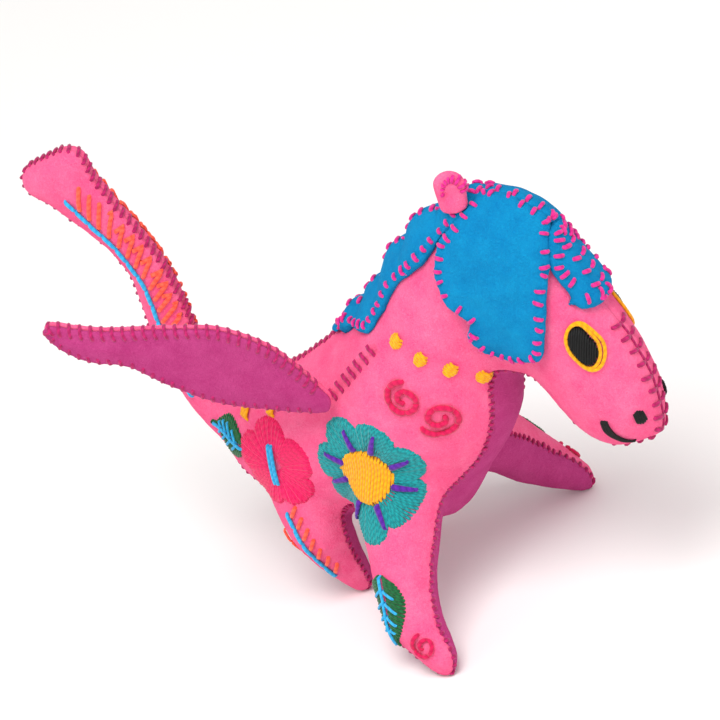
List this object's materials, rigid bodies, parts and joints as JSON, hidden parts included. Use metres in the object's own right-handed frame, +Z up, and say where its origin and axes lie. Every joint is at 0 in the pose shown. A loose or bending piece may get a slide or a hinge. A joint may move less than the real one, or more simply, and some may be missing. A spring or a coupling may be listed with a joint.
{
  "type": "alebrije winged horse figure",
  "caption": "Stuffed felt winged horse figure, hand sewn and embroidered, with a flowered pink body, blue mane, raised tail and soft movable wings.",
  "frame": {"origin": "on the ground under the middle of the bounding box, between the front and hind feet", "axes": "+X towards the nose, +Y to the horse's left, +Z up"},
  "size_m": [0.2066, 0.1165, 0.1585],
  "materials": {
    "pink_felt": "soft matt wool felt",
    "magenta_felt": "soft matt wool felt",
    "blue_felt": "soft matt wool felt",
    "stuffing": "loose polyester fibre",
    "crimson_thread": "soft wool embroidery thread",
    "seam_thread": "soft wool embroidery thread",
    "teal_thread": "soft wool embroidery thread",
    "yellow_thread": "soft wool embroidery thread",
    "green_thread": "soft wool embroidery thread",
    "blue_thread": "soft wool embroidery thread",
    "purple_thread": "soft wool embroidery thread",
    "orange_thread": "soft wool embroidery thread",
    "black_thread": "soft wool embroidery thread"
  },
  "bodies": {
    "horse": {"right_side_panel": "pink_felt", "left_side_panel": "pink_felt", "belly_gusset": "magenta_felt", "body_stuffing": "stuffing", "right_ear": "pink_felt", "left_ear": "pink_felt", "mane_back": "blue_felt", "right_mane_flap": "blue_felt", "left_mane_flap": "blue_felt", "forelock": "blue_felt", "right_eye_ring": "yellow_thread", "right_eye": "black_thread", "left_eye_ring": "yellow_thread", "left_eye": "black_thread", "right_nostril": "black_thread", "left_nostril": "black_thread", "mouth": "black_thread", "right_collar_dots": "yellow_thread", "left_collar_dots": "yellow_thread", "right_neck_swirls": "crimson_thread", "left_neck_swirls": "crimson_thread", "right_shoulder_petals": "teal_thread", "right_shoulder_centre": "yellow_thread", "right_shoulder_stamens": "purple_thread", "left_shoulder_petals": "teal_thread", "left_shoulder_centre": "yellow_thread", "left_shoulder_stamens": "purple_thread", "right_hip_petals": "crimson_thread", "right_hip_centre": "blue_thread", "left_hip_petals": "crimson_thread", "left_hip_centre": "blue_thread", "right_leg_leaf": "green_thread", "right_leg_leaf_veins": "blue_thread", "left_leg_leaf": "green_thread", "left_leg_leaf_veins": "blue_thread", "right_rump_leaf": "green_thread", "right_rump_leaf_veins": "blue_thread", "left_rump_leaf": "green_thread", "left_rump_leaf_veins": "blue_thread", "right_foot_spiral": "crimson_thread", "left_foot_spiral": "crimson_thread", "right_hind_feather": "orange_thread", "left_hind_feather": "orange_thread", "right_tail_midrib": "blue_thread", "right_tail_barbs": "orange_thread", "left_tail_midrib": "blue_thread", "left_tail_barbs": "orange_thread", "head_seam_stitches": "seam_thread", "back_seam_stitches": "seam_thread", "tail_seam_stitches": "seam_thread", "gusset_seam_stitches": "seam_thread"},
    "right_wing": {"right_wing_outer_felt": "magenta_felt", "right_wing_inner_felt": "pink_felt", "right_wing_stuffing": "stuffing", "right_wing_stitches": "seam_thread"},
    "left_wing": {"left_wing_outer_felt": "magenta_felt", "left_wing_inner_felt": "pink_felt", "left_wing_stuffing": "stuffing", "left_wing_stitches": "seam_thread"}
  },
  "joints": [
    {"name": "right_wing_root", "type": "hinge", "parent": "horse", "child": "right_wing", "pos_m": [0.004, -0.0252, 0.083], "axis": [0.4164, -0.0005, 0.9092], "range_deg": [-15, 70]},
    {"name": "left_wing_root", "type": "hinge", "parent": "horse", "child": "left_wing", "pos_m": [0.004, 0.0268, 0.083], "axis": [-0.8681, 0.0504, 0.4937], "range_deg": [-70, 0]}
  ]
}
